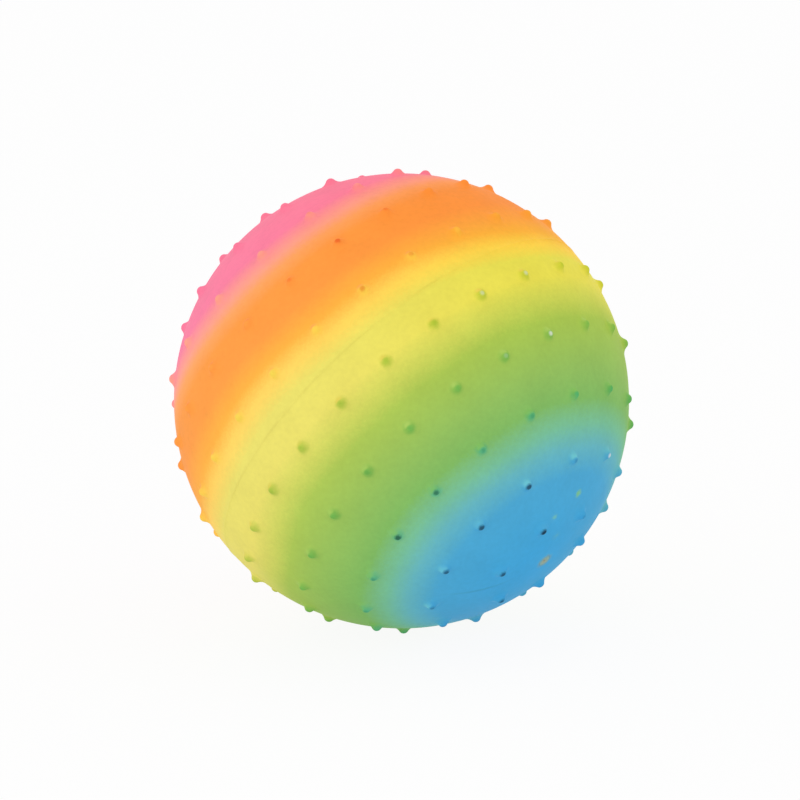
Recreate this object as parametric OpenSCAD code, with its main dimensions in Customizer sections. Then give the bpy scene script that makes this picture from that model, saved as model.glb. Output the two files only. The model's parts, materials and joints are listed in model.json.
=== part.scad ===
// Inflatable sensory ball: a hollow cast skin covered in round-tipped knobs, with a needle valve at one pole.
// It is drawn about the axis of its mould, with the valve on +Z, and then set down on three of its knobs.

/* [Skin] */
// Diameter of the skin, measured between the knobs
ball_d = 180; // [140:1:240]
// Thickness of the skin
skin_t = 1; // [0.6:0.1:2]
// Width of the raised line where the two halves of the mould met
seam_w = 0.8; // [0.4:0.1:1.6]
// Height of that line above the skin
seam_h = 0.15; // [0.05:0.05:0.2]

/* [Knobs] */
// Height of a knob above the skin
knob_h = 2.5; // [2.2:0.1:4]
// Radius of a knob's round tip
tip_r = 2; // [1.2:0.1:2.2]
// Radius of the hollow curve round a knob's foot
foot_r = 4; // [2:0.1:5]
// Arc along the skin from the moulded line to the nearest row of knobs
first_row = 14.6; // [10:0.1:20]
// Arc along the skin from one row of knobs to the next, before it is rounded to fill a half evenly
row_pitch = 25.8; // [18:0.1:36]
// Arc along a row from one knob to the next, before it is rounded to fill the row evenly
knob_pitch = 24.3; // [16:0.1:40]
// Arc along the skin from each pole to the nearest row of knobs
bare_pole = 23.6; // [14:0.1:36]
// Turn of the far half's rows against those of the valve's half, in degrees
far_turn = 117.5; // [0:0.5:180]

/* [Valve] */
// Diameter of the rubber bung
bung_d = 5.2; // [4:0.1:8]
// Length of the bung
bung_l = 12; // [8:0.5:20]
// Bevel round the bung's inner end
bung_bevel = 0.5; // [0.2:0.1:0.8]
// Gap all round between the bung and its hole
bung_gap = 0.05; // [0.02:0.01:0.1]
// Diameter of the pump needle's passage in the bung
needle_d = 2.4; // [1.5:0.1:3]
// Rubber left between the end of that passage and the bung's inner end
needle_end = 2; // [1:0.5:4]
// Wall of the sleeve round the bung
sleeve_wall = 1.8; // [1:0.1:3]
// Width of the sleeve's flange, outside that wall
flange_w = 4.5; // [3:0.5:8]
// Thickness of the flange
flange_t = 1.2; // [0.8:0.1:2]
// Width of the shoulder that the bung's inner end rests on
shoulder_w = 1.2; // [0.5:0.1:1.8]
// Thickness of that shoulder
shoulder_t = 2; // [1:0.5:4]
// Thickness of the glue between the flange and the skin
glue_t = 0.05; // [0.02:0.01:0.1]

/* [Stance] */
// Side that lies on the floor, in degrees from the moulded line towards the valve
rest_lat = 36; // [-80:1:80]
// The same side, in degrees round the axis from the start of the rows
rest_turn = 296; // [0:1:359]
// Turn of the standing ball about the vertical, in degrees
facing = 320.5; // [0:0.5:360]

/* [Hidden] */

$fn = 180;
knob_fn = 36;

// Colours of the sprayed bands from the far pole to the valve, and the latitudes at which each begins
band_colours = ["#FC86A6", "#FF9D46", "#ECE165", "#94C25E", "#4BA3D2"];
band_start_lat = [-90, -33, -6, 18, 50];
sleeve_colour = "#E6E2D6";
bung_colour = "#B59A6A";

ball_r = ball_d / 2;
inner_r = ball_r - skin_t;
seam_r = (seam_w * seam_w / 4 + seam_h * seam_h) / (2 * seam_h);

// Knob profile: a tip circle on the axis, blended into a foot circle that dips under the skin
// so that the two meet at an angle
foot_dip = 0.1;
root_y = ball_r - skin_t / 2;
tip_c = [0, ball_r + knob_h - tip_r];
foot_c_r = ball_r + foot_r - foot_dip;
foot_c_y = (foot_c_r ^ 2 - (tip_r + foot_r) ^ 2 + tip_c.y ^ 2) / (2 * tip_c.y);
foot_c = [sqrt(foot_c_r ^ 2 - foot_c_y ^ 2), foot_c_y];

// Rows of knobs on each half, alternate rows starting half a pitch round
quarter_arc = PI * ball_r / 2;
rows_arc = quarter_arc - bare_pole - first_row;
last_row = round(rows_arc / row_pitch);

function row_lat(row) = (first_row + row * rows_arc / last_row) / quarter_arc * 90;

function knobs_in(row) = round(4 * quarter_arc * cos(row_lat(row)) / knob_pitch);

function start_turn(half, row) = (half > 0 ? 0 : far_turn) + (row % 2 == 0 ? 180 / knobs_in(row) : 0);

function direction(lat, turn) = [cos(lat) * cos(turn), cos(lat) * sin(turn), sin(lat)];

// Latitude and turn of every knob
knob_places = [
    for (half = [1, -1])
        for (row = [0 : last_row])
            for (k = [0 : knobs_in(row) - 1])
                [half * row_lat(row), start_turn(half, row) + k * 360 / knobs_in(row)]
];

// Stance: of the triangles of knobs that surround the resting side, the ball stands on the one
// that lies furthest out
rest_dir = direction(rest_lat, rest_turn);
rest_reach = 1.5 * max(row_pitch, knob_pitch) / quarter_arc * 90;
rest_knobs = [
    for (place = knob_places)
        let (dir = direction(place[0], place[1]))
            if (dir * rest_dir > cos(rest_reach)) dir
];
last = len(rest_knobs) - 1;

function surrounds(a, b, c, dir) =
    let (sides = [cross(a, b) * dir, cross(b, c) * dir, cross(c, a) * dir])
        min(sides) >= 0 || max(sides) <= 0;

triangles = [
    for (i = [0 : last - 2])
        for (j = [i + 1 : last - 1])
            for (k = [j + 1 : last])
                let (a = rest_knobs[i], b = rest_knobs[j], c = rest_knobs[k], normal = cross(b - a, c - a))
                    if (surrounds(a, b, c, rest_dir)) [normal * a / (normal * rest_dir), normal, a]
];
furthest = max([for (triangle = triangles) triangle[0]]);
floor_triangle = [for (triangle = triangles) if (triangle[0] == furthest) triangle][0];
floor_normal = floor_triangle[1] * sign(floor_triangle[1] * rest_dir);
floor_dir = floor_normal / norm(floor_normal);
centre_h = tip_c.y * (floor_dir * floor_triangle[2]) + tip_r;

// Valve, all its pieces turned about the axis
bung_r = bung_d / 2;
bore_r = bung_r + bung_gap;
tube_r = bore_r + sleeve_wall;
flange_r = tube_r + flange_w;
seat_r = inner_r - glue_t;
bung_end = ball_r - bung_l;
sleeve_end = bung_end - shoulder_t;

// Sets the ball down on its three lowest knobs, with its centre above the origin
module stand() {
    translate([0, 0, centre_h])
        rotate([0, 0, facing])
            rotate([0, 180 - acos(floor_dir.z), 0])
                rotate([0, 0, -atan2(floor_dir.y, floor_dir.x)])
                    children();
}

// Half section of the skin between two latitudes
module skin_section(from, to) {
    reach = 2 * ball_d;
    intersection() {
        difference() {
            union() {
                circle(ball_r);
                translate([ball_r + seam_h - seam_r, 0]) circle(seam_r);
            }
            circle(inner_r);
            square([bore_r, ball_d]);
        }
        polygon([[0, 0], reach * [cos(from), sin(from)], reach * [cos(to), sin(to)]]);
    }
}

// Half section of a knob, from a flat root inside the skin's wall to its tip
module knob_section() {
    clear_y = ball_r + 2 * knob_h + foot_r;
    difference() {
        polygon([[0, root_y], [foot_c.x, root_y], foot_c, tip_c]);
        translate(foot_c) circle(foot_r);
    }
    intersection() {
        translate(tip_c) circle(tip_r);
        polygon([tip_c, foot_c, [foot_c.x, clear_y], [0, clear_y]]);
    }
}

module knob(lat, turn) {
    rotate([0, 90 - lat, turn])
        rotate_extrude($fn = knob_fn)
            knob_section($fn = knob_fn);
}

module skin() {
    stand()
        for (band = [0 : len(band_colours) - 1]) {
            from = band_start_lat[band];
            to = band + 1 < len(band_start_lat) ? band_start_lat[band + 1] : 90;
            color(band_colours[band]) {
                rotate_extrude() skin_section(from, to);
                for (place = knob_places)
                    if (place[0] >= from && place[0] < to)
                        knob(place[0], place[1]);
            }
        }
}

module valve_sleeve() {
    color(sleeve_colour)
        stand()
            rotate_extrude()
                difference() {
                    intersection() {
                        circle(seat_r);
                        union() {
                            translate([0, sleeve_end]) square([tube_r, seat_r - sleeve_end]);
                            difference() {
                                translate([0, sleeve_end]) square([flange_r, seat_r - sleeve_end]);
                                circle(seat_r - flange_t);
                            }
                        }
                    }
                    translate([0, bung_end]) square([bore_r, bung_l]);
                    translate([0, sleeve_end - 1]) square([bore_r - shoulder_w, shoulder_t + 2]);
                }
}

module valve_bung() {
    color(bung_colour)
        stand()
            rotate_extrude()
                difference() {
                    intersection() {
                        circle(ball_r);
                        polygon([
                            [0, bung_end],
                            [bung_r - bung_bevel, bung_end],
                            [bung_r, bung_end + bung_bevel],
                            [bung_r, ball_r],
                            [0, ball_r]
                        ]);
                    }
                    translate([0, bung_end + needle_end]) square([needle_d / 2, bung_l]);
                }
}

skin();
valve_sleeve();
valve_bung();
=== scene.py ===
"""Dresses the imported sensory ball: a sprayed vinyl skin with knobs, and a needle valve at its blue pole."""

import json
import logging
import math
from collections.abc import Callable, Iterator, Sequence
from contextlib import contextmanager
from dataclasses import dataclass
from enum import Enum
from functools import cached_property, reduce
from typing import Any

import bmesh
import bpy
import numpy as np
from mathutils import Matrix, Vector


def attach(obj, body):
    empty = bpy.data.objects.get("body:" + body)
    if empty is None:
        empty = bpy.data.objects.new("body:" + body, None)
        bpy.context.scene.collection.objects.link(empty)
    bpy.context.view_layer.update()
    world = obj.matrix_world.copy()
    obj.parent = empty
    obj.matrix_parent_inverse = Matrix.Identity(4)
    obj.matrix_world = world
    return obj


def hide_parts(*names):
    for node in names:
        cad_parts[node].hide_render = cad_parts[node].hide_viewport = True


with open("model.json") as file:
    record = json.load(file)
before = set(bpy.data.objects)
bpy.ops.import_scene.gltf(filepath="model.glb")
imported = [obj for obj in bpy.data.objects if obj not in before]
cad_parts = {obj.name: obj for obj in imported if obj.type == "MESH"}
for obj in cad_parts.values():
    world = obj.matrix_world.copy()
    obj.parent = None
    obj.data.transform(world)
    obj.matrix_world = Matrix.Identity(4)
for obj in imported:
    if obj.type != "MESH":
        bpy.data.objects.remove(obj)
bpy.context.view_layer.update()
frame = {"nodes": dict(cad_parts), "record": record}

MM = 0.001
FULL_TURN = 2 * math.pi
# Latitude of a pole, in degrees
POLE = 90
# Points closer than this count as one place
CLOSE = 0.01 * MM
# A unit normal with at least this much along an axis points along it
STRAIGHT = 0.99
# Keeps a direction defined where its length is nothing
SHORTEST = 1e-9
# A noise texture lies about this middle, and this gain takes it to about -1 and 1
NOISE_MIDDLE = 0.5
NOISE_GAIN = 4
# Sockets of a Mix node for colours, by number because other kinds of value have the same names
MIX_SHARE, MIX_UNDER, MIX_OVER, MIX_RESULT = 0, 6, 7, 2

log = logging.getLogger("sensory_ball")

Rgb = tuple[int, int, int]
Direction = tuple[float, float, float]
# Colours at some latitudes about the spray's axis, in degrees
Tints = tuple[tuple[float, Rgb], ...]


class Half(Enum):
    """The two halves of the mould, by the sign of their latitudes."""

    VALVE = 1
    FAR = -1


class Body(Enum):
    """The bodies that a piece can ride on."""

    BALL = "ball"
    BUNG = "bung"


class Slot(Enum):
    """The record's material slots."""

    SPRAYED_VINYL = "sprayed_vinyl"
    PLAIN_VINYL = "plain_vinyl"
    GUM_RUBBER = "gum_rubber"


class Part(Enum):
    """What a selection is made of."""

    VERT = "VERT"
    EDGE = "EDGE"
    FACE = "FACE"


class Reading(Enum):
    """What is read from a mesh's vertices."""

    PLACE = "co"
    NORMAL = "normal"


class Outline(Enum):
    """How a polygon is added to the skin's net."""

    OPEN = "NOTHING"
    FILLED = "NGON"


class Layer(Enum):
    """How one colour goes over another."""

    COVER = "MIX"
    TINT = "MULTIPLY"


class Paint(Enum):
    """The sprayed colours and the blends between neighbours, in sRGB."""

    PINK = (250, 128, 164)
    PEACH = (253, 162, 141)
    APRICOT = (253, 166, 99)
    ORANGE = (252, 157, 69)
    AMBER = (252, 177, 67)
    CORN = (254, 210, 98)
    YELLOW = (232, 221, 109)
    LIME = (206, 211, 97)
    LEAF = (170, 197, 86)
    GREEN = (129, 186, 98)
    SEA_GREEN = (120, 192, 153)
    AQUA = (102, 183, 195)
    BLUE = (76, 169, 213)
    DEEP_BLUE = (64, 167, 220)


class Attribute(Enum):
    """What the skin's mesh tells its paint about the knobs."""

    LEAN = "knob_lean"
    OFF_SPOT = "knob_off_spot"
    SCUFF = "knob_scuff"
    WEAR = "knob_wear"


def linear(rgb: Rgb) -> tuple[float, float, float, float]:
    """Turns an sRGB colour into the linear one that a shader takes.

    Args:
        rgb: Its red, green and blue, from 0 to 255.

    Returns:
        The linear red, green and blue, from 0 to 1, and an alpha of 1.
    """
    full, low, bend, gain, power = 255, 0.04045, 0.055, 12.92, 2.4
    shares = (channel / full for channel in rgb)
    red, green, blue = (s / gain if s <= low else ((s + bend) / (1 + bend)) ** power for s in shares)
    return red, green, blue, 1.0


def unit(direction: Direction) -> Vector:
    """Brings a direction to a length of 1."""
    return Vector(direction).normalized()


class Bench:
    """The modelling steps that every piece shares."""

    @staticmethod
    def clear() -> None:
        """Deselects every object."""
        bpy.ops.object.select_all(action="DESELECT")

    @staticmethod
    def name(name: str) -> bpy.types.Object:
        """Names the object that was just added, and its mesh.

        Args:
            name: The name of both.

        Returns:
            The object.
        """
        piece = bpy.context.object
        piece.name = name
        piece.data.name = name
        return piece

    @staticmethod
    @contextmanager
    def editing() -> Iterator[None]:
        """Opens the active object for editing, and closes it again.

        Yields:
            Nothing, while the object is open.
        """
        bpy.ops.object.mode_set(mode="EDIT")
        yield
        bpy.ops.object.mode_set(mode="OBJECT")

    @staticmethod
    def pick(part: Part, test: Callable[[Any], bool]) -> None:
        """Selects the parts of the mesh in hand that pass a test, and no others.

        Args:
            part: Whether vertices, edges or faces are tested.
            test: Says whether one of them, as bmesh has it, is wanted.
        """
        bpy.ops.mesh.select_mode(type=part.value)
        bpy.ops.mesh.select_all(action="DESELECT")
        mesh = bmesh.from_edit_mesh(bpy.context.object.data)
        items = {Part.VERT: mesh.verts, Part.EDGE: mesh.edges, Part.FACE: mesh.faces}[part]
        for item in items:
            item.select_set(test(item))
        mesh.select_flush_mode()
        bmesh.update_edit_mesh(bpy.context.object.data)

    @staticmethod
    def read(piece: bpy.types.Object, reading: Reading = Reading.PLACE) -> np.ndarray:
        """Reads a piece's vertices.

        Args:
            piece: The piece.
            reading: Whether their places or their normals are read.

        Returns:
            One row for each vertex.
        """
        values = np.empty(len(piece.data.vertices) * 3)
        piece.data.vertices.foreach_get(reading.value, values)
        return values.reshape(-1, 3)

    @staticmethod
    def move(piece: bpy.types.Object, places: np.ndarray) -> None:
        """Puts a piece's vertices at new places."""
        piece.data.vertices.foreach_set("co", places.ravel())
        piece.data.update()

    @staticmethod
    def subdivide(piece: bpy.types.Object, levels: int) -> None:
        """Adds a Subdivision Surface to the active piece and applies it.

        Args:
            piece: The piece.
            levels: How many times it is subdivided.
        """
        smooth = piece.modifiers.new("Subdivision", "SUBSURF")
        smooth.levels = levels
        smooth.render_levels = levels
        bpy.ops.object.modifier_apply(modifier=smooth.name)

    @staticmethod
    def settle(piece: bpy.types.Object, matrix: Matrix, sharp: float) -> None:
        """Moves the active piece to its place in the mesh itself, and shades it.

        Args:
            piece: The piece, drawn in the frame of the mould.
            matrix: Takes that frame to the standing ball's.
            sharp: Edges that turn by more than this angle stay sharp, in degrees.
        """
        piece.matrix_world = matrix
        bpy.ops.object.transform_apply(location=True, rotation=True, scale=True)
        bpy.ops.object.shade_smooth_by_angle(angle=math.radians(sharp))


@dataclass(frozen=True)
class Grain:
    """A noise over a surface."""

    # Size of its blotches, in metres
    size: float
    # How many finer layers it has, and how strong those are
    detail: float = 2
    roughness: float = 0.5
    # About how far it goes up and down
    strength: float = 1


@dataclass(frozen=True)
class Fade:
    """A smooth change from low to high while a value goes from start to end."""

    start: float
    end: float
    low: float = 0
    high: float = 1


@dataclass(frozen=True)
class Relief:
    """A fine relief of a surface."""

    grain: Grain
    depth: float
    strength: float


class Signal:
    """A socket whose value changes over a surface; arithmetic on it adds Math nodes."""

    def __init__(self, sheet: "Sheet", socket: bpy.types.NodeSocket | None) -> None:
        """Wraps a socket of a sheet, or none for a node that ends it."""
        self.sheet = sheet
        self.socket = socket

    def math(self, operation: str, *others: "Signal | float") -> "Signal":
        """Adds a Math node that works on this value and on others."""
        return self.sheet.math(operation, self, *others)

    def __add__(self, other: "Signal | float") -> "Signal":
        """Adds another value to this one."""
        return self.math("ADD", other)

    def __radd__(self, other: float) -> "Signal":
        """Adds this value to a number."""
        return self.math("ADD", other)

    def __sub__(self, other: "Signal | float") -> "Signal":
        """Takes another value from this one."""
        return self.math("SUBTRACT", other)

    def __rsub__(self, other: float) -> "Signal":
        """Takes this value from a number."""
        return self.sheet.math("SUBTRACT", other, self)

    def __mul__(self, other: "Signal | float") -> "Signal":
        """Multiplies this value by another."""
        return self.math("MULTIPLY", other)

    def __rmul__(self, other: float) -> "Signal":
        """Multiplies a number by this value."""
        return self.math("MULTIPLY", other)


class Sheet:
    """A node tree, and the one way of adding nodes to it."""

    def __init__(self, tree: bpy.types.NodeTree) -> None:
        """Takes a node tree and empties it."""
        self.tree = tree
        tree.nodes.clear()

    def node(
        self,
        kind: str,
        settings: dict[str, Any] | None = None,
        sockets: dict[str | int, Any] | None = None,
        output: str | int = 0,
    ) -> Signal:
        """Adds a node.

        Args:
            kind: The node's type.
            settings: Its properties, set before its sockets; a ramp's stops go by the name of stops.
            sockets: Values or signals for its inputs, by name or number.
            output: Which of its outputs is wanted.

        Returns:
            That output.
        """
        made = self.tree.nodes.new(kind)
        for key, value in (settings or {}).items():
            if key == "stops":
                self._set_stops(made.color_ramp, value)
            else:
                setattr(made, key, value)
        for key, value in (sockets or {}).items():
            if isinstance(value, Signal):
                self.tree.links.new(value.socket, made.inputs[key])
            else:
                made.inputs[key].default_value = value
        return Signal(self, made.outputs[output] if len(made.outputs) else None)

    @staticmethod
    def _set_stops(ramp: bpy.types.ColorRamp, stops: list[tuple[float, tuple]]) -> None:
        """Sets the stops of a new ramp, which has two.

        Args:
            ramp: The ramp.
            stops: Places from 0 to 1, with their linear colours.
        """
        ramp.interpolation = "LINEAR"
        for _ in stops[2:]:
            ramp.elements.new(1)
        for element, (place, colour) in zip(ramp.elements, stops):
            element.position = place
            element.color = colour

    def math(self, operation: str, *values: Signal | float) -> Signal:
        """Adds a Math node."""
        return self.node("ShaderNodeMath", {"operation": operation}, dict(enumerate(values)))

    def vector(self, operation: str, *values: Signal | Vector) -> Signal:
        """Adds a Vector Math node that gives a vector."""
        return self.node("ShaderNodeVectorMath", {"operation": operation}, dict(enumerate(values)))

    def measure(self, operation: str, *values: Signal | Vector) -> Signal:
        """Adds a Vector Math node that gives a number."""
        return self.node("ShaderNodeVectorMath", {"operation": operation}, dict(enumerate(values)), "Value")

    def scale(self, colour: Signal, by: Signal) -> Signal:
        """Scales a colour by a value."""
        return self.node("ShaderNodeVectorMath", {"operation": "SCALE"}, {0: colour, "Scale": by})

    def blend(self, share: Signal, under: Any, over: Any, layer: Layer = Layer.COVER) -> Signal:
        """Lays a share of one colour over another.

        Args:
            share: How much of the upper colour shows.
            under: The lower colour.
            over: The upper colour.
            layer: Whether the upper colour covers the lower one or tints it.

        Returns:
            The mixed colour.
        """
        settings = {"data_type": "RGBA", "blend_type": layer.value}
        sockets = {MIX_SHARE: share, MIX_UNDER: under, MIX_OVER: over}
        return self.node("ShaderNodeMix", settings, sockets, MIX_RESULT)

    def fade(self, value: Signal, fade: Fade) -> Signal:
        """Fades by a value.

        Args:
            value: The value.
            fade: Where the change lies and what it goes between.

        Returns:
            What the value changes to.
        """
        settings = {"interpolation_type": "SMOOTHSTEP"}
        limits = {"From Min": fade.start, "From Max": fade.end, "To Min": fade.low, "To Max": fade.high}
        return self.node("ShaderNodeMapRange", settings, {"Value": value, **limits})

    def noise(self, place: Signal, grain: Grain) -> Signal:
        """Lays a noise over a surface.

        Args:
            place: The coordinates.
            grain: What the noise is like.

        Returns:
            The noise, on both sides of 0 and mostly within its strength.
        """
        look = {"Scale": 1 / grain.size, "Detail": grain.detail, "Roughness": grain.roughness}
        texture = self.node("ShaderNodeTexNoise", None, {"Vector": place, **look})
        return (texture - NOISE_MIDDLE) * (NOISE_GAIN * grain.strength)

    def bump(self, place: Signal, relief: Relief) -> Signal:
        """Turns a surface's normals by a fine relief.

        Args:
            place: The coordinates.
            relief: What the relief is like.

        Returns:
            The normals.
        """
        height = self.noise(place, relief.grain)
        look = {"Strength": relief.strength, "Distance": relief.depth}
        return self.node("ShaderNodeBump", None, {"Height": height, **look})

    def attribute(self, name: Attribute) -> Signal:
        """Reads what the mesh says at this place."""
        return self.node("ShaderNodeAttribute", {"attribute_name": name.value}, output="Fac")


def coat(name: str) -> tuple[bpy.types.Material, Sheet]:
    """Makes an empty material.

    Args:
        name: Its name.

    Returns:
        The material, and the sheet of its nodes.
    """
    material = bpy.data.materials.new(name)
    material.use_nodes = True
    return material, Sheet(material.node_tree)


def varnish(sheet: Sheet, sockets: dict[str | int, Any]) -> None:
    """Ends a sheet in one shader with the given sockets."""
    shader = sheet.node("ShaderNodeBsdfPrincipled", None, sockets)
    sheet.node("ShaderNodeOutputMaterial", None, {"Surface": shader})


@dataclass(frozen=True)
class Stance:
    """Where the standing ball has its centre and its poles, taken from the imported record."""

    radius: float = 90 * MM
    # Turn of the rows' start about the valve's axis, in degrees from straight up
    rows_turn: float = -116.4706

    @property
    def needle_hole(self) -> dict[str, Any]:
        """The record's mount at the valve."""
        return next(m for m in frame["record"]["mounts"] if m["name"] == "needle_hole")

    @property
    def axis(self) -> Vector:
        """Direction from the ball's centre to the valve."""
        return unit(self.needle_hole["axis"])

    @property
    def centre(self) -> Vector:
        """The ball's centre."""
        half_length = self.needle_hole["dims"]["length_mm"] / 2 * MM
        return Vector(self.needle_hole["pos_m"]) - self.axis * (self.radius - half_length)

    @property
    def matrix(self) -> Matrix:
        """Turns and moves what is drawn in the frame of the mould.

        Returns:
            The matrix from that frame, with the valve on +Z, to the standing ball's.
        """
        up = Vector((0, 0, 1))
        uphill = (up - self.axis * up.dot(self.axis)).normalized()
        start = Matrix.Rotation(math.radians(self.rows_turn), 3, self.axis) @ uphill
        turned = Matrix((start, self.axis.cross(start), self.axis)).transposed()
        return Matrix.Translation(self.centre) @ turned.to_4x4()


@dataclass(frozen=True)
class Globe:
    """Where each place of a surface lies on the standing ball, for a finish."""

    sheet: Sheet
    stance: Stance

    @cached_property
    def place(self) -> Signal:
        """Object coordinates."""
        return self.sheet.node("ShaderNodeTexCoord", output="Object")

    @cached_property
    def spoke(self) -> Signal:
        """The same from the ball's centre."""
        return self.sheet.vector("SUBTRACT", self.place, self.stance.centre)

    @cached_property
    def outward(self) -> Signal:
        """Unit directions from the ball's centre."""
        return self.sheet.vector("NORMALIZE", self.spoke)

    def noise(self, grain: Grain) -> Signal:
        """Lays a noise over the surface."""
        return self.sheet.noise(self.place, grain)

    def rise(self) -> Signal:
        """Heights above the skin's outer face, in metres."""
        return self.sheet.measure("LENGTH", self.spoke) - self.stance.radius

    def along(self, direction: Vector) -> Signal:
        """Distances from the ball's centre along a unit direction, in metres."""
        return self.sheet.measure("DOT_PRODUCT", self.spoke, direction)

    def off_axis(self) -> Signal:
        """Distances from the valve's axis, in metres."""
        return self.sheet.measure("LENGTH", self.sheet.vector("CROSS_PRODUCT", self.spoke, self.stance.axis))

    def off(self, direction: Direction) -> Signal:
        """Distances from the place in a given direction, as shares of the radius."""
        return self.sheet.measure("DISTANCE", self.outward, unit(direction))


@dataclass(frozen=True)
class KnobRows:
    """The rows of knobs on both halves of the skin, in the frame of the mould."""

    radius: float
    first_row: float = 14.6 * MM
    row_pitch: float = 25.8 * MM
    knob_pitch: float = 24.3 * MM
    bare_pole: float = 23.6 * MM
    # Turn of the far half's rows against those of the valve's half, in degrees
    far_turn: float = 117.5

    def row(self, half: Half, latitude: float, shifted: bool) -> list[Vector]:
        """Places the knobs of one row.

        Args:
            half: The half of the mould.
            latitude: Latitude of the row on that half, in radians.
            shifted: Whether the row starts half a pitch round.

        Returns:
            The directions of its knobs from the ball's centre.
        """
        count = round(FULL_TURN * self.radius * math.cos(latitude) / self.knob_pitch)
        start = FULL_TURN / count / 2 if shifted else 0
        if half is Half.FAR:
            start += math.radians(self.far_turn)
        across, along = math.cos(latitude), half.value * math.sin(latitude)
        turns = [start + knob * FULL_TURN / count for knob in range(count)]
        return [Vector((across * math.cos(turn), across * math.sin(turn), along)) for turn in turns]

    def directions(self) -> list[Vector]:
        """Places all the knobs.

        Returns:
            Their directions from the ball's centre.
        """
        rows_arc = self.radius * math.pi / 2 - self.bare_pole - self.first_row
        last = round(rows_arc / self.row_pitch)
        latitudes = [(self.first_row + row * rows_arc / last) / self.radius for row in range(last + 1)]
        return [
            knob
            for half in Half
            for row, latitude in enumerate(latitudes)
            for knob in self.row(half, latitude, row % 2 == 0)
        ]


@dataclass(frozen=True)
class KnobSection:
    """Half section of a knob: a round tip, a hollow foot and the skin round it, joined without a crease."""

    radius: float
    height: float = 2.5 * MM
    tip_radius: float = 2 * MM
    foot_radius: float = 4 * MM
    # How far from its axis a knob takes hold of the skin
    reach: float = 6 * MM

    def lay(self, arcs: np.ndarray) -> tuple[np.ndarray, np.ndarray]:
        """Lays arcs of the bare skin along the section.

        Args:
            arcs: Distances along the bare skin from the knob's axis, none beyond the reach.

        Returns:
            Distances from the axis, and heights along it from the ball's centre.
        """
        tip_y = self.radius + self.height - self.tip_radius
        foot_far = self.radius + self.foot_radius
        foot_y = (foot_far**2 - (self.tip_radius + self.foot_radius) ** 2 + tip_y**2) / (2 * tip_y)
        foot_x = math.sqrt(foot_far**2 - foot_y**2)
        tip_turn = math.atan2(foot_x, foot_y - tip_y)
        skin_turn = math.atan2(foot_x, foot_y)
        foot_start = self.tip_radius * tip_turn
        skin_start = foot_start + self.foot_radius * (tip_turn - skin_turn)
        length = skin_start + self.reach - self.radius * skin_turn

        run = arcs * length / self.reach
        tip = run / self.tip_radius
        foot = tip_turn - (run - foot_start) / self.foot_radius
        skin = skin_turn + (run - skin_start) / self.radius
        zones = [run < foot_start, run < skin_start]
        across = np.select(
            zones,
            [self.tip_radius * np.sin(tip), foot_x - self.foot_radius * np.sin(foot)],
            self.radius * np.sin(skin),
        )
        along = np.select(
            zones,
            [tip_y + self.tip_radius * np.cos(tip), foot_y - self.foot_radius * np.cos(foot)],
            self.radius * np.cos(skin),
        )
        return across, along


@dataclass(frozen=True)
class Swell:
    """A bulge in the edge between two bands, with its angles in degrees."""

    # Direction of its middle from the ball's centre, and the latitude of the edge
    toward: Direction
    latitude: float
    # How far it reaches along the edge, and its shift of the latitude
    reach: float
    shift: float
    # How far from the edge it has gone, and is still whole
    gone: float = 13
    whole: float = 13 / 3

    def lay(self, globe: Globe, latitude: Signal) -> Signal:
        """Works out how the bulge shifts the bands.

        Args:
            globe: The places on the ball.
            latitude: Their latitudes about the spray's axis, in degrees.

        Returns:
            The shift of the latitude, in degrees.
        """
        chord = 2 * math.sin(math.radians(self.reach) / 2)
        along = globe.sheet.fade(globe.off(self.toward), Fade(chord, 0))
        off_edge = (latitude - self.latitude).math("ABSOLUTE")
        return along * globe.sheet.fade(off_edge, Fade(self.gone, self.whole)) * self.shift


@dataclass(frozen=True)
class Spray:
    """How the bands lie on the ball, as an axis and latitudes about it in degrees."""

    # Direction of the blue pole from the ball's centre
    axis: Direction = (0.586, -0.570, -0.576)
    stops: tuple[tuple[float, Paint], ...] = (
        (-42, Paint.PINK),
        (-34, Paint.PEACH),
        (-30, Paint.APRICOT),
        (-25, Paint.ORANGE),
        (-16, Paint.ORANGE),
        (-8, Paint.AMBER),
        (-3, Paint.CORN),
        (3, Paint.YELLOW),
        (11, Paint.YELLOW),
        (17, Paint.LIME),
        (22.5, Paint.LEAF),
        (43.5, Paint.GREEN),
        (50, Paint.SEA_GREEN),
        (56, Paint.AQUA),
        (63, Paint.BLUE),
        (85, Paint.DEEP_BLUE),
    )
    swells: tuple[Swell, ...] = (
        Swell((0.637, -0.031, 0.770), latitude=-3, reach=58, shift=-4.4),
        Swell((-0.597, -0.765, 0.241), latitude=-3, reach=36, shift=1.4),
        Swell((-0.570, -0.624, -0.535), latitude=18, reach=28, shift=-3),
    )

    def latitude(self, outward: np.ndarray) -> np.ndarray:
        """Latitudes of unit directions about the spray's axis, in degrees."""
        return np.degrees(np.arcsin(np.clip(outward @ unit(self.axis), -1, 1)))

    def poleward(self, outward: np.ndarray) -> np.ndarray:
        """Finds the way along the skin to the blue pole.

        Args:
            outward: Unit directions of places from the ball's centre.

        Returns:
            Unit directions at those places.
        """
        axis = np.array(unit(self.axis))
        along = axis - outward * (outward @ axis)[:, None]
        return along / np.linalg.norm(along, axis=1, keepdims=True)


@dataclass(frozen=True)
class ScuffedSide:
    """A side on which the knobs' tips have rubbed dark."""

    toward: Direction
    # Angles from its middle at which the marks begin to weaken and have gone, in degrees
    full: float
    gone: float
    strength: float = 1.0

    def marks(self, knobs: np.ndarray) -> np.ndarray:
        """Strength of the mark on each of the knobs, whose directions are given."""
        angles = np.degrees(np.arccos(np.clip(knobs @ unit(self.toward), -1, 1)))
        return self.strength * np.clip((self.gone - angles) / (self.gone - self.full), 0, 1)


@dataclass(frozen=True)
class HighlitTip:
    """A knob whose tip carries a pale painted highlight in the colour of bare vinyl."""

    toward: Direction
    strength: float = 1.0


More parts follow.
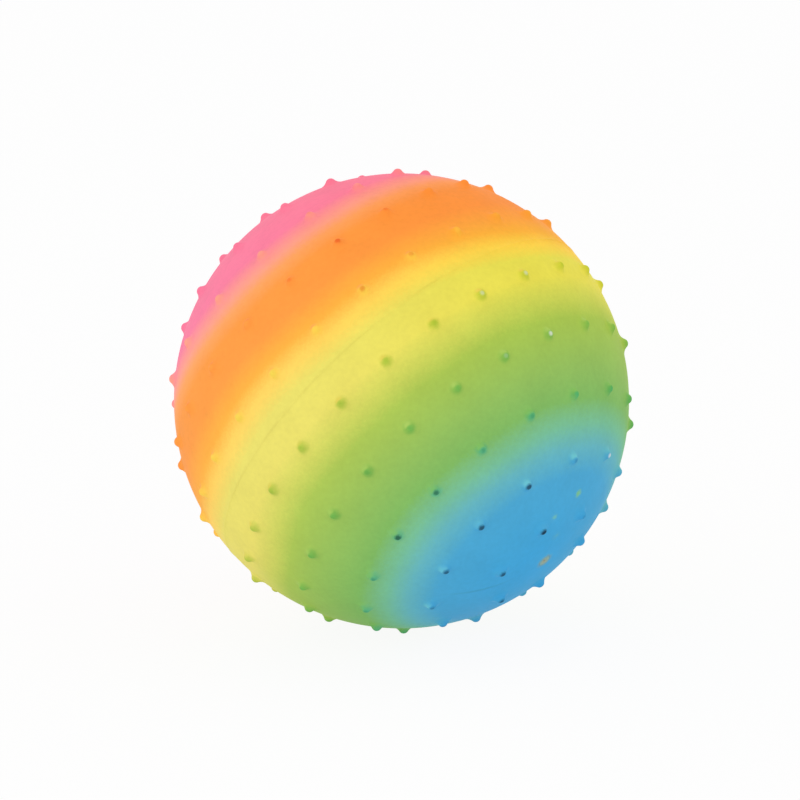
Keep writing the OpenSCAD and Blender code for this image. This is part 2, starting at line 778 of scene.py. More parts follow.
@dataclass(frozen=True)
class SprayedVinyl:
    """Soft matt vinyl, sprayed in bands that fade into each other; tints go by latitude."""

    spray: Spray
    roughness: float = 0.6
    dull: Grain = Grain(12 * MM, detail=3, strength=0.04)
    gloss: float = 0.07
    peel: Relief = Relief(Grain(1.4 * MM), depth=0.05 * MM, strength=0.12)
    # Wander of the bands' edges and shake of the spray, in degrees of latitude
    wander: Grain = Grain(45 * MM, detail=1, strength=0.6)
    shake: Grain = Grain(0.9 * MM, detail=3, roughness=0.6, strength=0.8)
    # Lighter and darker clouds and specks in the paint
    clouds: Grain = Grain(16 * MM, detail=4, strength=0.035)
    specks: Grain = Grain(2 * MM, detail=3, strength=0.03)
    # A painted sheen and shade: the bands stay paler on the lit left and front, and are tinted richer and
    # darker towards the side away from the light; that side, how the tint grows towards it, and the tint
    # there
    shaded_side: Direction = (0.807, 0.480, 0.346)
    shaded_side_fade: Fade = Fade(-1.05, 0.6)
    sheen_and_shade: Tints = (
        (-44, (255, 244, 228)),
        (-30, (255, 236, 215)),
        (-20, (255, 236, 207)),
        (-14, (255, 238, 217)),
        (-8, (255, 250, 221)),
        (-2, (253, 254, 186)),
        (11, (255, 255, 188)),
        (17, (252, 254, 218)),
        (25, (253, 255, 238)),
        (36, (255, 255, 255)),
    )
    # The smudges and marks on the knobs lie this far from their tips towards the blue pole
    spot_off: float = 0.15 * MM
    # Smudges of spray that the knobs catch, by millimetres from the spot: their ragged edge, their shift
    # of the latitude in degrees, the latitudes over which they begin to tint the paint, and their tint
    smudge_fade: Fade = Fade(3.6, 0)
    smudge_edge: Grain = Grain(2.5 * MM, strength=0.4)
    smudge_shift: float = 4
    smudge_start: Fade = Fade(-14, -6)
    smudge: Tints = (
        (-8, (255, 250, 220)),
        (-3, (252, 246, 180)),
        (4, (218, 231, 124)),
        (12, (211, 233, 182)),
        (22, (205, 239, 226)),
        (42, (168, 236, 220)),
        (56, (230, 244, 250)),
    )
    # The knobs' sides that face the pink pole and the light, which show the colour the grazing spray left and
    # a painted highlight: the lean of the surface in degrees, the share of a knob's height over which they
    # begin, how patchy they are, and their colour
    flank_lean: Fade = Fade(-16, -50)
    flank_foot: float = 0.15
    flank_patches: Grain = Grain(9 * MM)
    flank_patchy: Fade = Fade(-0.9, 1.4, 0.2, 1)
    flank_spray_and_highlight: Tints = (
        (-40, (254, 150, 172)),
        (-20, (248, 136, 72)),
        (-8, (250, 162, 92)),
        (-3, (252, 182, 84)),
        (5, (250, 204, 84)),
        (22, (194, 216, 106)),
        (45, (132, 192, 94)),
        (55, (126, 214, 204)),
        (63, (132, 222, 224)),
        (70, (84, 176, 216)),
        (85, (78, 172, 218)),
    )
    # Stray drops of the green band's paint on the blue cap: directions from the ball's centre, distance
    # from their middles, ragged edge, and shift of the latitude in degrees
    drops: tuple[Direction, ...] = (
        (0.672, -0.658, -0.339),
        (0.778, -0.575, -0.254),
        (0.681, -0.582, -0.444),
    )
    drop_fade: Fade = Fade(3.04 * MM, 0.16 * MM)
    drop_edge: Grain = Grain(2 * MM, strength=0.5 * MM)
    drop_shift: float = -20
    # Rubbed tips, by millimetres from the spot: ragged edge, how much wider a whole mark is than a weak
    # one, how fast the marks gain strength, what they add to the roughness, and what they leave of the
    # paint below
    rubbed_fade: Fade = Fade(0.22, 1.38, 1, 0)
    rubbed_edge: Grain = Grain(0.7 * MM, strength=0.2)
    rubbed_growth: float = 0.55
    rubbed_power: float = 0.7
    rubbed_dull: float = 0.15
    rubbed: Tints = (
        (-15, (232, 140, 142)),
        (-2, (226, 140, 142)),
        (12, (150, 140, 140)),
        (38, (92, 128, 134)),
        (60, (144, 99, 95)),
    )
    # Bare vinyl, the colour of the unpainted inner face and of the pale painted highlights on a few knobs'
    # tips, and the highlights' share by millimetres from the spot
    bare_vinyl_and_highlight: Rgb = (238, 236, 226)
    tip_highlight_fade: Fade = Fade(0.4, 1.35, 0.65, 0)
    # Painted shade along the moulded line and in the crease, by distance from them
    line_shade: Rgb = (226, 222, 214)
    seam_fade: Fade = Fade(0.7 * MM, 0.2 * MM)
    seam_patches: Grain = Grain(22 * MM)
    seam_patchy: Fade = Fade(-0.2, 1.0, 0, 0.28)
    crease_fade: Fade = Fade(0.9 * MM, 0.1 * MM)
    # The plane that the crease in the blue cap lies in, as a normal and a share of the radius, the
    # crease's middle, and how it weakens towards its ends
    crease_normal: Direction = (0.342, -0.921, 0.185)
    crease_off: float = 0.5954
    crease_middle: Direction = (0.338, -0.656, -0.674)
    crease_ends: Fade = Fade(0.2, 0, 0, 0.5)
    # The skin round the valve, rubbed by the pump, by distance from the valve's axis, and the latitudes
    # over which that side of the ball begins
    valve_rub: Rgb = (136, 160, 154)
    valve_rub_fade: Fade = Fade(2.4 * MM, 4.6 * MM, 0.5, 0)
    valve_rub_edge: Grain = Grain(1.5 * MM, detail=3, strength=0.6 * MM)
    valve_side: Fade = Fade(45, 60)

    def dress(self, stance: Stance, thickness: float, knob_height: float) -> bpy.types.Material:
        """Makes the material.

        Args:
            stance: Where the ball stands.
            thickness: Thickness of the skin, whose inner face is unpainted.
            knob_height: Height of a knob above the skin.

        Returns:
            The material.
        """
        material, sheet = coat(Slot.SPRAYED_VINYL.value)
        globe = Globe(sheet, stance)
        rise = globe.rise()
        sine = sheet.measure("DOT_PRODUCT", globe.outward, unit(self.spray.axis))
        latitude = math.degrees(1) * sine.math("ARCSINE")

        smudges = self._smudges(globe)
        drift = globe.noise(self.wander) + globe.noise(self.shake)
        for swell in self.spray.swells:
            drift += swell.lay(globe, latitude)
        drift += smudges * self.smudge_shift + self._drops(globe) * self.drop_shift
        sprayed = [(degrees, paint.value) for degrees, paint in self.spray.stops]
        colour = self._by_latitude(sheet, latitude + drift, sprayed)

        # Painted sheen and shade: paler where the light falls from the left, richer and darker towards the
        # side away from it
        side = sheet.measure("DOT_PRODUCT", globe.outward, Vector(self.shaded_side))
        sheen_and_shade = self._by_latitude(sheet, latitude, self.sheen_and_shade)
        colour = sheet.blend(sheet.fade(side, self.shaded_side_fade), colour, sheen_and_shade, Layer.TINT)
        colour = self._mottle(globe, colour)
        smudge = self._by_latitude(sheet, latitude, self.smudge)
        colour = sheet.blend(smudges * sheet.fade(latitude, self.smudge_start), colour, smudge, Layer.TINT)
        # The knobs' sides that face the pink pole and the light: grazed spray colour and a painted highlight
        raised = sheet.fade(rise, Fade(0, self.flank_foot * knob_height))
        flank_spray_and_highlight = self._by_latitude(sheet, latitude, self.flank_spray_and_highlight)
        colour = sheet.blend(self._grazed_and_highlit(globe) * raised, colour, flank_spray_and_highlight)
        # Painted shade along the moulded line and in the crease
        colour = sheet.blend(self._lines(globe), colour, linear(self.line_shade), Layer.TINT)
        # Bare vinyl on the unpainted inner face, and pale painted highlights on a few knobs' tips
        inside = sheet.fade(rise, Fade(-thickness, -thickness / 2, 1, 0))
        bare_and_highlight = inside.math("MAXIMUM", self._tip_highlights(globe))
        colour = sheet.blend(bare_and_highlight, colour, linear(self.bare_vinyl_and_highlight))
        rub = self._valve_rub(globe) * sheet.fade(latitude, self.valve_side)
        colour = sheet.blend(rub, colour, linear(self.valve_rub))
        marks = self._tip_marks(globe)
        rubbed = self._by_latitude(sheet, latitude, self.rubbed)
        colour = sheet.blend(marks, colour, rubbed, Layer.TINT)

        sockets = {
            "Base Color": colour,
            "Roughness": self.roughness + globe.noise(self.dull) + marks * self.rubbed_dull,
            "Normal": sheet.bump(globe.place, self.peel),
            "Specular IOR Level": self.gloss,
        }
        varnish(sheet, sockets)
        return material

    @staticmethod
    def _by_latitude(sheet: Sheet, latitude: Signal, colours: Sequence[tuple[float, Rgb]]) -> Signal:
        """Looks up a colour.

        Args:
            sheet: The paint's nodes.
            latitude: Latitudes, in degrees.
            colours: The colours at some latitudes.

        Returns:
            The colour at each latitude.
        """
        stops = [((degrees + POLE) / (2 * POLE), linear(rgb)) for degrees, rgb in colours]
        limits = {"From Min": -POLE, "From Max": POLE}
        share = sheet.node("ShaderNodeMapRange", None, {"Value": latitude, **limits})
        return sheet.node("ShaderNodeValToRGB", {"stops": stops}, {"Fac": share})

    def _mottle(self, globe: Globe, colour: Signal) -> Signal:
        """Lightens and darkens the paint a little where it lies thinner or thicker."""
        return globe.sheet.scale(colour, 1 + globe.noise(self.clouds) + globe.noise(self.specks))

    def _smudges(self, globe: Globe) -> Signal:
        """Strength of the smudges round the knobs' tips."""
        ragged = globe.sheet.attribute(Attribute.OFF_SPOT) + globe.noise(self.smudge_edge)
        return globe.sheet.fade(ragged, self.smudge_fade)

    def _grazed_and_highlit(self, globe: Globe) -> Signal:
        """Strength of the colour on the knobs' sides that face the pink pole and the light: what the spray
        only grazed, and a painted highlight.
        """
        patchy = globe.sheet.fade(globe.noise(self.flank_patches), self.flank_patchy)
        return globe.sheet.fade(globe.sheet.attribute(Attribute.LEAN), self.flank_lean) * patchy

    def _tip_highlights(self, globe: Globe) -> Signal:
        """Share of the pale painted highlight on the highlit tips."""
        spot = globe.sheet.fade(globe.sheet.attribute(Attribute.OFF_SPOT), self.tip_highlight_fade)
        return spot * globe.sheet.attribute(Attribute.WEAR)

    def _drops(self, globe: Globe) -> Signal:
        """Finds the stray drops.

        Args:
            globe: The places on the ball.

        Returns:
            Their strength.
        """
        off = [globe.off(drop) for drop in self.drops]
        nearest = reduce(lambda one, other: one.math("MINIMUM", other), off)
        ragged = globe.stance.radius * nearest + globe.noise(self.drop_edge)
        return globe.sheet.fade(ragged, self.drop_fade)

    def _lines(self, globe: Globe) -> Signal:
        """Finds the painted shade along the moulded line and in the crease in the blue cap.

        Args:
            globe: The places on the ball.

        Returns:
            Its strength.
        """
        sheet, stance = globe.sheet, globe.stance
        off_seam = globe.along(stance.axis).math("ABSOLUTE")
        patchy = sheet.fade(globe.noise(self.seam_patches), self.seam_patchy)
        seam = sheet.fade(off_seam, self.seam_fade) * patchy
        crease_height = self.crease_off * stance.radius
        off_crease = (globe.along(unit(self.crease_normal)) - crease_height).math("ABSOLUTE")
        ends = sheet.fade(globe.off(self.crease_middle), self.crease_ends)
        return seam.math("MAXIMUM", sheet.fade(off_crease, self.crease_fade) * ends)

    def _valve_rub(self, globe: Globe) -> Signal:
        """Strength of the rub marks about the valve's axis."""
        ragged = globe.off_axis() + globe.noise(self.valve_rub_edge)
        return globe.sheet.fade(ragged, self.valve_rub_fade)

    def _tip_marks(self, globe: Globe) -> Signal:
        """Finds the dark rub marks on the knobs' tips.

        Args:
            globe: The places on the ball.

        Returns:
            Their strength.
        """
        scuff = globe.sheet.attribute(Attribute.SCUFF)
        ragged = globe.sheet.attribute(Attribute.OFF_SPOT) + globe.noise(self.rubbed_edge)
        spot = globe.sheet.fade(ragged - scuff * self.rubbed_growth, self.rubbed_fade)
        return spot * scuff.math("POWER", self.rubbed_power)


@dataclass(frozen=True)
class PlainVinyl:
    """Unpainted soft vinyl, a little cloudy."""

    colour: Rgb = (230, 226, 214)
    cloud: Rgb = (214, 207, 190)
    clouds: Grain = Grain(6 * MM, detail=3)
    cloud_fade: Fade = Fade(-1, 1)
    cloud_dull: float = 0.1
    roughness: float = 0.6
    relief: Relief = Relief(Grain(0.8 * MM), depth=0.05 * MM, strength=0.2)

    def dress(self) -> bpy.types.Material:
        """Makes the material.

        Returns:
            The material.
        """
        material, sheet = coat(Slot.PLAIN_VINYL.value)
        place = sheet.node("ShaderNodeTexCoord", output="Object")
        share = sheet.fade(sheet.noise(place, self.clouds), self.cloud_fade)
        sockets = {
            "Base Color": sheet.blend(share, linear(self.colour), linear(self.cloud)),
            "Roughness": self.roughness + share * self.cloud_dull,
            "Normal": sheet.bump(place, self.relief),
        }
        varnish(sheet, sockets)
        return material


@dataclass(frozen=True)
class GumRubber:
    """Tan gum rubber with the blue band's overspray on its face and dirt in its dimple."""

    tan: Rgb = (188, 172, 110)
    ochre: Rgb = (190, 154, 80)
    overspray: Rgb = (84, 170, 184)
    # Ochre blotches, the most that they cover, and what they add to the roughness
    blotches: Grain = Grain(1.6 * MM, detail=3)
    blotch_fade: Fade = Fade(-0.9, 0.9)
    blotch_share: float = 0.45
    blotch_dull: float = 0.1
    roughness: float = 0.7
    # Ochre dirt in the dimple and the share of overspray, by distance from the axis, and the shake of both
    dirt_fade: Fade = Fade(1.17 * MM, 0.39 * MM)
    overspray_fade: Fade = Fade(0.26 * MM, 2.6 * MM, 0.42, 0.75)
    shake: Grain = Grain(1.1 * MM, detail=3, strength=0.312 * MM)
    overspray_specks: Grain = Grain(0.9 * MM, strength=0.15)
    # The face that the overspray reached, by height above the skin's outer face
    face_fade: Fade = Fade(-0.5 * MM, -0.2 * MM)
    relief: Relief = Relief(Grain(0.4 * MM, detail=3), depth=0.08 * MM, strength=0.35)

    def dress(self, stance: Stance) -> bpy.types.Material:
        """Makes the material.

        Args:
            stance: Where the ball stands.

        Returns:
            The material.
        """
        material, sheet = coat(Slot.GUM_RUBBER.value)
        globe = Globe(sheet, stance)
        height = globe.along(stance.axis) - stance.radius
        ragged = globe.off_axis() + globe.noise(self.shake)

        blotch = sheet.fade(globe.noise(self.blotches), self.blotch_fade)
        colour = sheet.blend(blotch * self.blotch_share, linear(self.tan), linear(self.ochre))
        colour = sheet.blend(sheet.fade(ragged, self.dirt_fade), colour, linear(self.ochre))
        cover = sheet.fade(ragged, self.overspray_fade) + globe.noise(self.overspray_specks)
        colour = sheet.blend(cover * sheet.fade(height, self.face_fade), colour, linear(self.overspray))

        sockets = {
            "Base Color": colour,
            "Roughness": self.roughness + blotch * self.blotch_dull,
            "Normal": sheet.bump(globe.place, self.relief),
        }
        varnish(sheet, sockets)
        return material


@dataclass
class Skin:
    """The hollow cast skin with its knobs, its moulded line and the hole for the valve."""

    stance: Stance
    rows: KnobRows
    section: KnobSection
    finish: SprayedVinyl
    thickness: float = 1 * MM
    hole_radius: float = 2.65 * MM
    hole_bevel: float = 0.12 * MM
    hole_bevel_segments: int = 2
    seam_width: float = 0.8 * MM
    seam_height: float = 0.15 * MM
    # The lines that the moulded line is raised from, as shares of half its width
    seam_lines: tuple[float, ...] = (-1, -0.5, 0, 0.5, 1)
    # The net that is smoothed into the skin: each knob's foot is a hexagon with rings inside it
    foot_radius: float = 7 * MM
    foot_sides: int = 6
    foot_rings: int = 4
    hole_sides: int = 12
    hole_collar: float = 6 * MM
    far_pole_sides: int = 8
    far_pole_radius: float = 9 * MM
    levels: int = 2
    inner_rings: int = 48
    # Edges that turn by more than this stay sharp, in degrees
    sharp: float = 50
    # Where the knobs' tips have rubbed dark, and the least and most of each mark
    scuffed_sides: tuple[ScuffedSide, ...] = (
        ScuffedSide((0.35, -0.83, -0.44), full=20, gone=40),
        ScuffedSide((-0.25, -0.46, 0.85), full=14, gone=24, strength=0.6),
        ScuffedSide((0.40, 0.80, 0.45), full=8, gone=30, strength=0.8),
    )
    scuff_seed: int = 294355
    scuff_least: float = 0.2
    scuff_most: float = 1.1
    # Knobs whose tips carry a pale painted highlight, and its strength
    highlit_tips: tuple[HighlitTip, ...] = (
        HighlitTip((0.65, -0.58, 0.49)),
        HighlitTip((0.90, -0.43, -0.12)),
        HighlitTip((0.36, -0.63, 0.69), strength=0.5),
        HighlitTip((0.53, -0.45, 0.72), strength=0.6),
        HighlitTip((0.45, -0.78, 0.44), strength=0.25),
    )

    def build(self) -> bpy.types.Object:
        """Models the skin and dresses it.

        Returns:
            The finished piece.
        """
        knobs = self.rows.directions()
        skin = self._net(knobs)
        self._ring_feet()
        Bench.subdivide(skin, self.levels)
        self._cut_seam()
        self._wrap(skin, np.array(knobs))
        self._line_inside()
        Bench.settle(skin, self.stance.matrix, self.sharp)
        self._tell_paint(skin, np.array([self.stance.matrix.to_3x3() @ knob for knob in knobs]))
        skin.data.materials.clear()
        skin.data.materials.append(self.finish.dress(self.stance, self.thickness, self.section.height))
        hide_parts("skin")
        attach(skin, Body.BALL.value)
        return skin

    def _height(self, radius: float) -> float:
        """Height above the ball's centre of a circle of some radius that lies on the skin."""
        return math.sqrt(self.stance.radius**2 - radius**2)

    def _circle(self, direction: Vector, radius: float, sides: int, outline: Outline) -> None:
        """Adds a polygon whose corners lie on the skin.

        Args:
            direction: Direction of its middle from the ball's centre.
            radius: Distance of its corners from its axis.
            sides: How many corners it has.
            outline: Whether it is filled.
        """
        bpy.ops.mesh.primitive_circle_add(
            vertices=sides,
            radius=radius,
            fill_type=outline.value,
            location=direction * self._height(radius),
            rotation=direction.to_track_quat("Z", "Y").to_euler(),
        )

    def _net(self, knobs: list[Vector]) -> bpy.types.Object:
        """Spans a closed net over the knobs' feet, with a hole at the valve.

        Args:
            knobs: Directions of the knobs from the ball's centre.

        Returns:
            The net.
        """
        valve = Vector((0, 0, 1))
        Bench.clear()
        self._circle(valve, self.hole_radius, self.hole_sides, Outline.OPEN)
        net = Bench.name("sprayed_skin")
        bpy.ops.object.transform_apply(location=True, rotation=True)
        with Bench.editing():
            self._circle(valve, self.hole_collar, self.hole_sides, Outline.OPEN)
            self._circle(-valve, self.far_pole_radius, self.far_pole_sides, Outline.OPEN)
            for knob in knobs:
                self._circle(knob, self.foot_radius, self.foot_sides, Outline.FILLED)
            bpy.ops.mesh.select_all(action="SELECT")
            bpy.ops.mesh.convex_hull(use_existing_faces=True, join_triangles=True)
            bpy.ops.mesh.select_all(action="SELECT")
            bpy.ops.mesh.normals_make_consistent(inside=False)
            rim = self.hole_radius + CLOSE
            Bench.pick(Part.FACE, lambda face: all(v.co.z > 0 and v.co.xy.length < rim for v in face.verts))
            bpy.ops.mesh.delete(type="ONLY_FACE")
        return net

    def _ring_feet(self) -> None:
        """Gives the foot of every knob its rings."""
        with Bench.editing():
            Bench.pick(Part.FACE, lambda face: len(face.verts) == self.foot_sides)
            apothem = self.foot_radius * math.cos(math.pi / self.foot_sides)
            for _ in range(self.foot_rings):
                bpy.ops.mesh.inset(thickness=apothem / (self.foot_rings + 1), use_individual=True)

    def _cut_seam(self) -> None:
        """Cuts the lines round the middle that the moulded line is raised from."""
        with Bench.editing():
            for share in self.seam_lines:
                bpy.ops.mesh.select_all(action="SELECT")
                height = share * self.seam_width / 2
                bpy.ops.mesh.bisect(plane_co=(0, 0, height), plane_no=(0, 0, 1), threshold=CLOSE)

    def _wrap(self, skin: bpy.types.Object, knobs: np.ndarray) -> None:
        """Lays the smoothed net on the true form of the skin, the knobs and the moulded line.

        Args:
            skin: The smoothed net.
            knobs: Directions of the knobs from the ball's centre.
        """
        radius = self.stance.radius
        points = Bench.read(skin)
        outward = points / np.linalg.norm(points, axis=1, keepdims=True)

        seam_round = (self.seam_width**2 / 4 + self.seam_height**2) / (2 * self.seam_height)
        bead = np.sqrt(np.clip(seam_round**2 - points[:, 2] ** 2, 0, None)) - seam_round + self.seam_height
        laid = outward * (radius + np.clip(bead, 0, None))[:, None]

        cosines = outward @ knobs.T
        nearest = knobs[np.argmax(cosines, axis=1)]
        cosine = np.clip(cosines.max(axis=1), -1, 1)
        arcs = radius * np.arccos(cosine)
        sideways = outward - nearest * cosine[:, None]
        sideways /= np.maximum(np.linalg.norm(sideways, axis=1, keepdims=True), SHORTEST)
        raised = arcs < self.section.reach
        across, along = self.section.lay(arcs[raised])
        laid[raised] = nearest[raised] * along[:, None] + sideways[raised] * across[:, None]

        off_axis = np.linalg.norm(points[:, :2], axis=1, keepdims=True)
        hole = (off_axis[:, 0] < self.hole_radius + CLOSE) & (points[:, 2] > 0)
        laid[hole, :2] = points[hole, :2] / off_axis[hole] * self.hole_radius
        laid[hole, 2] = self._height(self.hole_radius)
        Bench.move(skin, laid)

    def _line_inside(self) -> None:
        """Gives the skin its thickness: the wall of the hole, and the inner face joined to it."""
        with Bench.editing():
            Bench.pick(Part.EDGE, lambda edge: edge.is_boundary)
            bpy.ops.mesh.extrude_edges_move(TRANSFORM_OT_translate={"value": (0, 0, -self.thickness)})
            bpy.ops.mesh.primitive_uv_sphere_add(
                segments=self.hole_sides * 2**self.levels,
                ring_count=self.inner_rings,
                radius=self.stance.radius - self.thickness,
            )
            bpy.ops.mesh.flip_normals()
            Bench.pick(Part.VERT, lambda vert: vert.co.z > 0 and vert.co.xy.length < CLOSE)
            bpy.ops.mesh.delete(type="VERT")
            Bench.pick(Part.EDGE, lambda edge: edge.is_boundary)
            bpy.ops.mesh.bridge_edge_loops()
            low, rim = self._height(self.hole_radius) - CLOSE, self.hole_radius + CLOSE
            Bench.pick(Part.EDGE, lambda edge: all(v.co.z > low and v.co.xy.length < rim for v in edge.verts))
            bpy.ops.mesh.bevel(offset=self.hole_bevel, segments=self.hole_bevel_segments, affect="EDGES")

    def _tell_paint(self, skin: bpy.types.Object, knobs: np.ndarray) -> None:
        """Writes what the paint needs to know of the knobs into the mesh.

        Args:
            skin: The standing skin.
            knobs: Directions of its knobs from its centre.
        """
        spray = self.finish.spray
        spoke = Bench.read(skin) - np.array(self.stance.centre)
        outward = spoke / np.linalg.norm(spoke, axis=1, keepdims=True)
        nearest = np.argmax(outward @ knobs.T, axis=1)
        spots = knobs * self.stance.radius + spray.poleward(knobs) * self.finish.spot_off
        off_spot = np.linalg.norm(outward * self.stance.radius - spots[nearest], axis=1)
        lean = spray.latitude(Bench.read(skin, Reading.NORMAL)) - spray.latitude(outward)
        lean[off_spot > self.section.reach] = 0
        marks = np.max([side.marks(knobs) for side in self.scuffed_sides], axis=0)
        draws = np.random.default_rng(self.scuff_seed)
        marks *= draws.uniform(self.scuff_least, self.scuff_most, len(knobs))
        # A pale painted highlight on a few knobs' tips
        tip_highlight = np.zeros(len(knobs))
        for tip in self.highlit_tips:
            tip_highlight[np.argmax(knobs @ Vector(tip.toward))] = tip.strength
        told = {
            Attribute.LEAN: lean,
            Attribute.OFF_SPOT: off_spot / MM,
            Attribute.SCUFF: marks[nearest],
            Attribute.WEAR: tip_highlight[nearest],
        }
        for name, values in told.items():
            skin.data.attributes.new(name.value, "FLOAT", "POINT").data.foreach_set("value", values)


@dataclass
class Valve:
    """The needle valve: the rubber bung, modelled here, and its sleeve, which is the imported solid."""

    stance: Stance
    bung_finish: GumRubber
    sleeve_finish: PlainVinyl
    bung_radius: float = 2.6 * MM
    bung_length: float = 12 * MM
    bung_sides: int = 48
    inner_bevel: float = 0.5 * MM
    rim_bevel: float = 0.15 * MM
    bevel_segments: int = 3
    dimple_radius: float = 1.1 * MM
    dimple_floor: float = 0.55 * MM
    dimple_depth: float = 0.3 * MM
    slit_radius: float = 0.3 * MM
    slit_depth: float = 1.5 * MM
    # Edges that turn by more than this stay sharp, in degrees
    sharp: float = 40

    @property
    def top(self) -> float:
        """Height of the bung's face above the ball's centre."""
        return self.stance.radius

    @property
    def middle(self) -> float:
        """Height of the bung's middle above the ball's centre."""
        return self.top - self.bung_length / 2

    def build(self) -> tuple[bpy.types.Object, bpy.types.Object]:
        """Models the bung, and dresses it and the sleeve.

        Returns:
            The finished bung and the sleeve.
        """
        Bench.clear()
        bpy.ops.mesh.primitive_cylinder_add(
            vertices=self.bung_sides,
            radius=self.bung_radius,
            depth=self.bung_length,
            location=(0, 0, self.middle),
        )
        bung = Bench.name("needle_bung")
        bpy.ops.object.transform_apply(location=True)
        with Bench.editing():
            self._round_ends()
            self._sink_dimple()
        self._dome(bung)
        Bench.settle(bung, self.stance.matrix, self.sharp)
        bung.data.materials.clear()
        bung.data.materials.append(self.bung_finish.dress(self.stance))
        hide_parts("valve_bung")
        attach(bung, Body.BUNG.value)

        sleeve = frame["nodes"]["valve_sleeve"]
        sleeve.data.materials.clear()
        sleeve.data.materials.append(self.sleeve_finish.dress())
        return bung, sleeve

    def _round_ends(self) -> None:
        """Bevels the bung's inner end and rounds the rim of its face."""
        Bench.pick(Part.FACE, lambda face: face.normal.z < -STRAIGHT)
        bpy.ops.mesh.bevel(offset=self.inner_bevel, segments=self.bevel_segments, affect="EDGES")
        Bench.pick(Part.FACE, lambda face: face.normal.z > STRAIGHT)
        bpy.ops.mesh.bevel(offset=self.rim_bevel, segments=self.bevel_segments, affect="EDGES")

    def _sink_dimple(self) -> None:
        """Sinks the dimple that guides the needle, and the slit at its bottom, into the bung's face."""
        Bench.pick(Part.FACE, lambda face: face.normal.z > STRAIGHT)
        ring = (self.bung_radius - self.rim_bevel - self.dimple_radius) / 2
        bpy.ops.mesh.inset(thickness=ring)
        bpy.ops.mesh.inset(thickness=ring)
        bpy.ops.mesh.inset(thickness=self.dimple_radius - self.dimple_floor, depth=-self.dimple_depth)
        bpy.ops.mesh.inset(thickness=self.dimple_floor - self.slit_radius)
        bpy.ops.mesh.extrude_region_move(TRANSFORM_OT_translate={"value": (0, 0, -self.slit_depth)})

    def _dome(self, bung: bpy.types.Object) -> None:
        """Curves the bung's face to follow the skin.

        Args:
            bung: The bung, drawn with a flat face.
        """
        points = Bench.read(bung)
        sag = self.top - np.sqrt(self.top**2 - np.sum(points[:, :2] ** 2, axis=1))
        points[:, 2] -= np.where(points[:, 2] > self.middle, sag, 0)
        Bench.move(bung, points)


@dataclass(frozen=True)
class Lamp:
    """A square soft lamp that points at the ball: its place and side in metres, and its power in watts."""

    name: str
    place: Direction
    side: float
    power: float


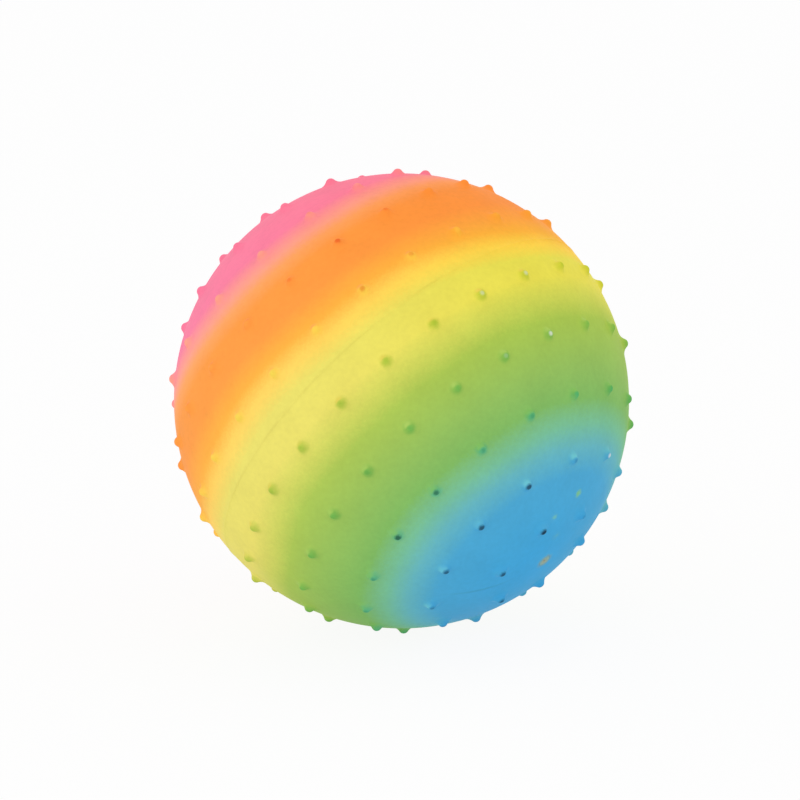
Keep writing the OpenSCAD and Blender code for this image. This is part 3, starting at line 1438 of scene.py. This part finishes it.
@dataclass
class Studio:
    """A pale floor, soft even light from all round and a camera at the photograph's angle."""

    stance: Stance
    lamps: tuple[Lamp, ...] = (
        Lamp("key_light", (-1.3, -0.5, 0.7), side=0.9, power=2.0),
        Lamp("top_light", (0.6, 0.1, 1.4), side=0.9, power=1.6),
        Lamp("low_fill", (-0.3, -1.2, 0.05), side=0.7, power=2.0),
    )
    sky: float = 0.91
    floor_half: float = 4.0
    floor_grey: float = 0.86
    # Share of plain white in what the camera sees of the floor, the rest of which shows the shadow,
    # and in what it throws back at the ball, as the floor of a light tent does
    floor_white: float = 0.92
    floor_glow: float = 0.45
    # Where the ball's middle lies in the image and how wide the ball is there, in pixels
    image_size: int = 800
    middle_x: float = 401.5
    middle_y: float = 400.9
    ball_pixels: float = 455.2
    elevation: float = 16.5
    distance: float = 2.0

    def build(self) -> None:
        """Sets up the floor, the light and the camera."""
        self._floor()
        self._sky()
        for lamp in self.lamps:
            self._hang(lamp)
        self._camera()

    @staticmethod
    def _seen(sheet: Sheet) -> Signal:
        """Tells the rays that show the surroundings to the camera, also by way of gloss and glass.

        Args:
            sheet: The nodes of the floor or the sky.

        Returns:
            1 for those rays and 0 for the rest.
        """
        names = ("Is Camera Ray", "Is Glossy Ray", "Is Transmission Ray")
        rays = [sheet.node("ShaderNodeLightPath", output=name) for name in names]
        return reduce(lambda one, other: one.math("MAXIMUM", other), rays)

    def _floor(self) -> None:
        """Lays the floor."""
        Bench.clear()
        bpy.ops.mesh.primitive_plane_add(size=2 * self.floor_half)
        floor = Bench.name("floor")
        material, sheet = coat("pale_floor")
        grey = (self.floor_grey, self.floor_grey, self.floor_grey, 1)
        matt = sheet.node("ShaderNodeBsdfDiffuse", None, {"Color": grey})
        white = sheet.node("ShaderNodeEmission", None, {"Strength": 1.0})
        share = self.floor_glow + self._seen(sheet) * (self.floor_white - self.floor_glow)
        mixed = sheet.node("ShaderNodeMixShader", None, {0: share, 1: matt, 2: white})
        sheet.node("ShaderNodeOutputMaterial", None, {"Surface": mixed})
        floor.data.materials.append(material)

    def _sky(self) -> None:
        """Lights the scene evenly from all round, in front of a white background."""
        world = bpy.data.worlds.new("light_tent")
        bpy.context.scene.world = world
        world.use_nodes = True
        sheet = Sheet(world.node_tree)
        seen = self._seen(sheet)
        strength = seen + (1 - seen) * self.sky
        sky = sheet.node("ShaderNodeBackground", None, {"Color": (1, 1, 1, 1), "Strength": strength})
        sheet.node("ShaderNodeOutputWorld", None, {"Surface": sky})

    def _hang(self, lamp: Lamp) -> None:
        """Hangs a lamp.

        Args:
            lamp: The lamp.
        """
        Bench.clear()
        bpy.ops.object.light_add(type="AREA", location=lamp.place)
        hung = bpy.context.object
        hung.name = lamp.name
        hung.data.size = lamp.side
        hung.data.energy = lamp.power
        hung.rotation_euler = (self.stance.centre - Vector(lamp.place)).to_track_quat("-Z", "Y").to_euler()

    def _camera(self) -> None:
        """Sets the camera up square to the ball, without perspective."""
        tilt = math.radians(self.elevation)
        back = Vector((0, -math.cos(tilt), math.sin(tilt)))
        up = Vector((0, math.sin(tilt), math.cos(tilt)))
        pixel = 2 * self.stance.radius / self.ball_pixels
        right_off = (self.image_size / 2 - self.middle_x) * pixel
        up_off = (self.middle_y - self.image_size / 2) * pixel
        place = self.stance.centre + back * self.distance + up * up_off + Vector((right_off, 0, 0))
        Bench.clear()
        bpy.ops.object.camera_add(location=place, rotation=(math.pi / 2 - tilt, 0, 0))
        camera = bpy.context.object
        camera.data.type = "ORTHO"
        camera.data.ortho_scale = self.image_size * pixel
        bpy.context.scene.camera = camera


def main() -> None:
    """Builds the ball and its surroundings."""
    logging.basicConfig(level=logging.INFO, format="%(name)s: %(message)s")
    bpy.context.scene.view_settings.view_transform = "Standard"
    stance = Stance()
    finish = SprayedVinyl(Spray())
    skin = Skin(stance, KnobRows(stance.radius), KnobSection(stance.radius), finish).build()
    bung, sleeve = Valve(stance, GumRubber(), PlainVinyl()).build()
    for piece in (skin, bung, sleeve):
        log.info("%s: %d faces", piece.name, len(piece.data.polygons))
    Studio(stance).build()
    log.info("studio is set")


if __name__ == "__main__":
    main()
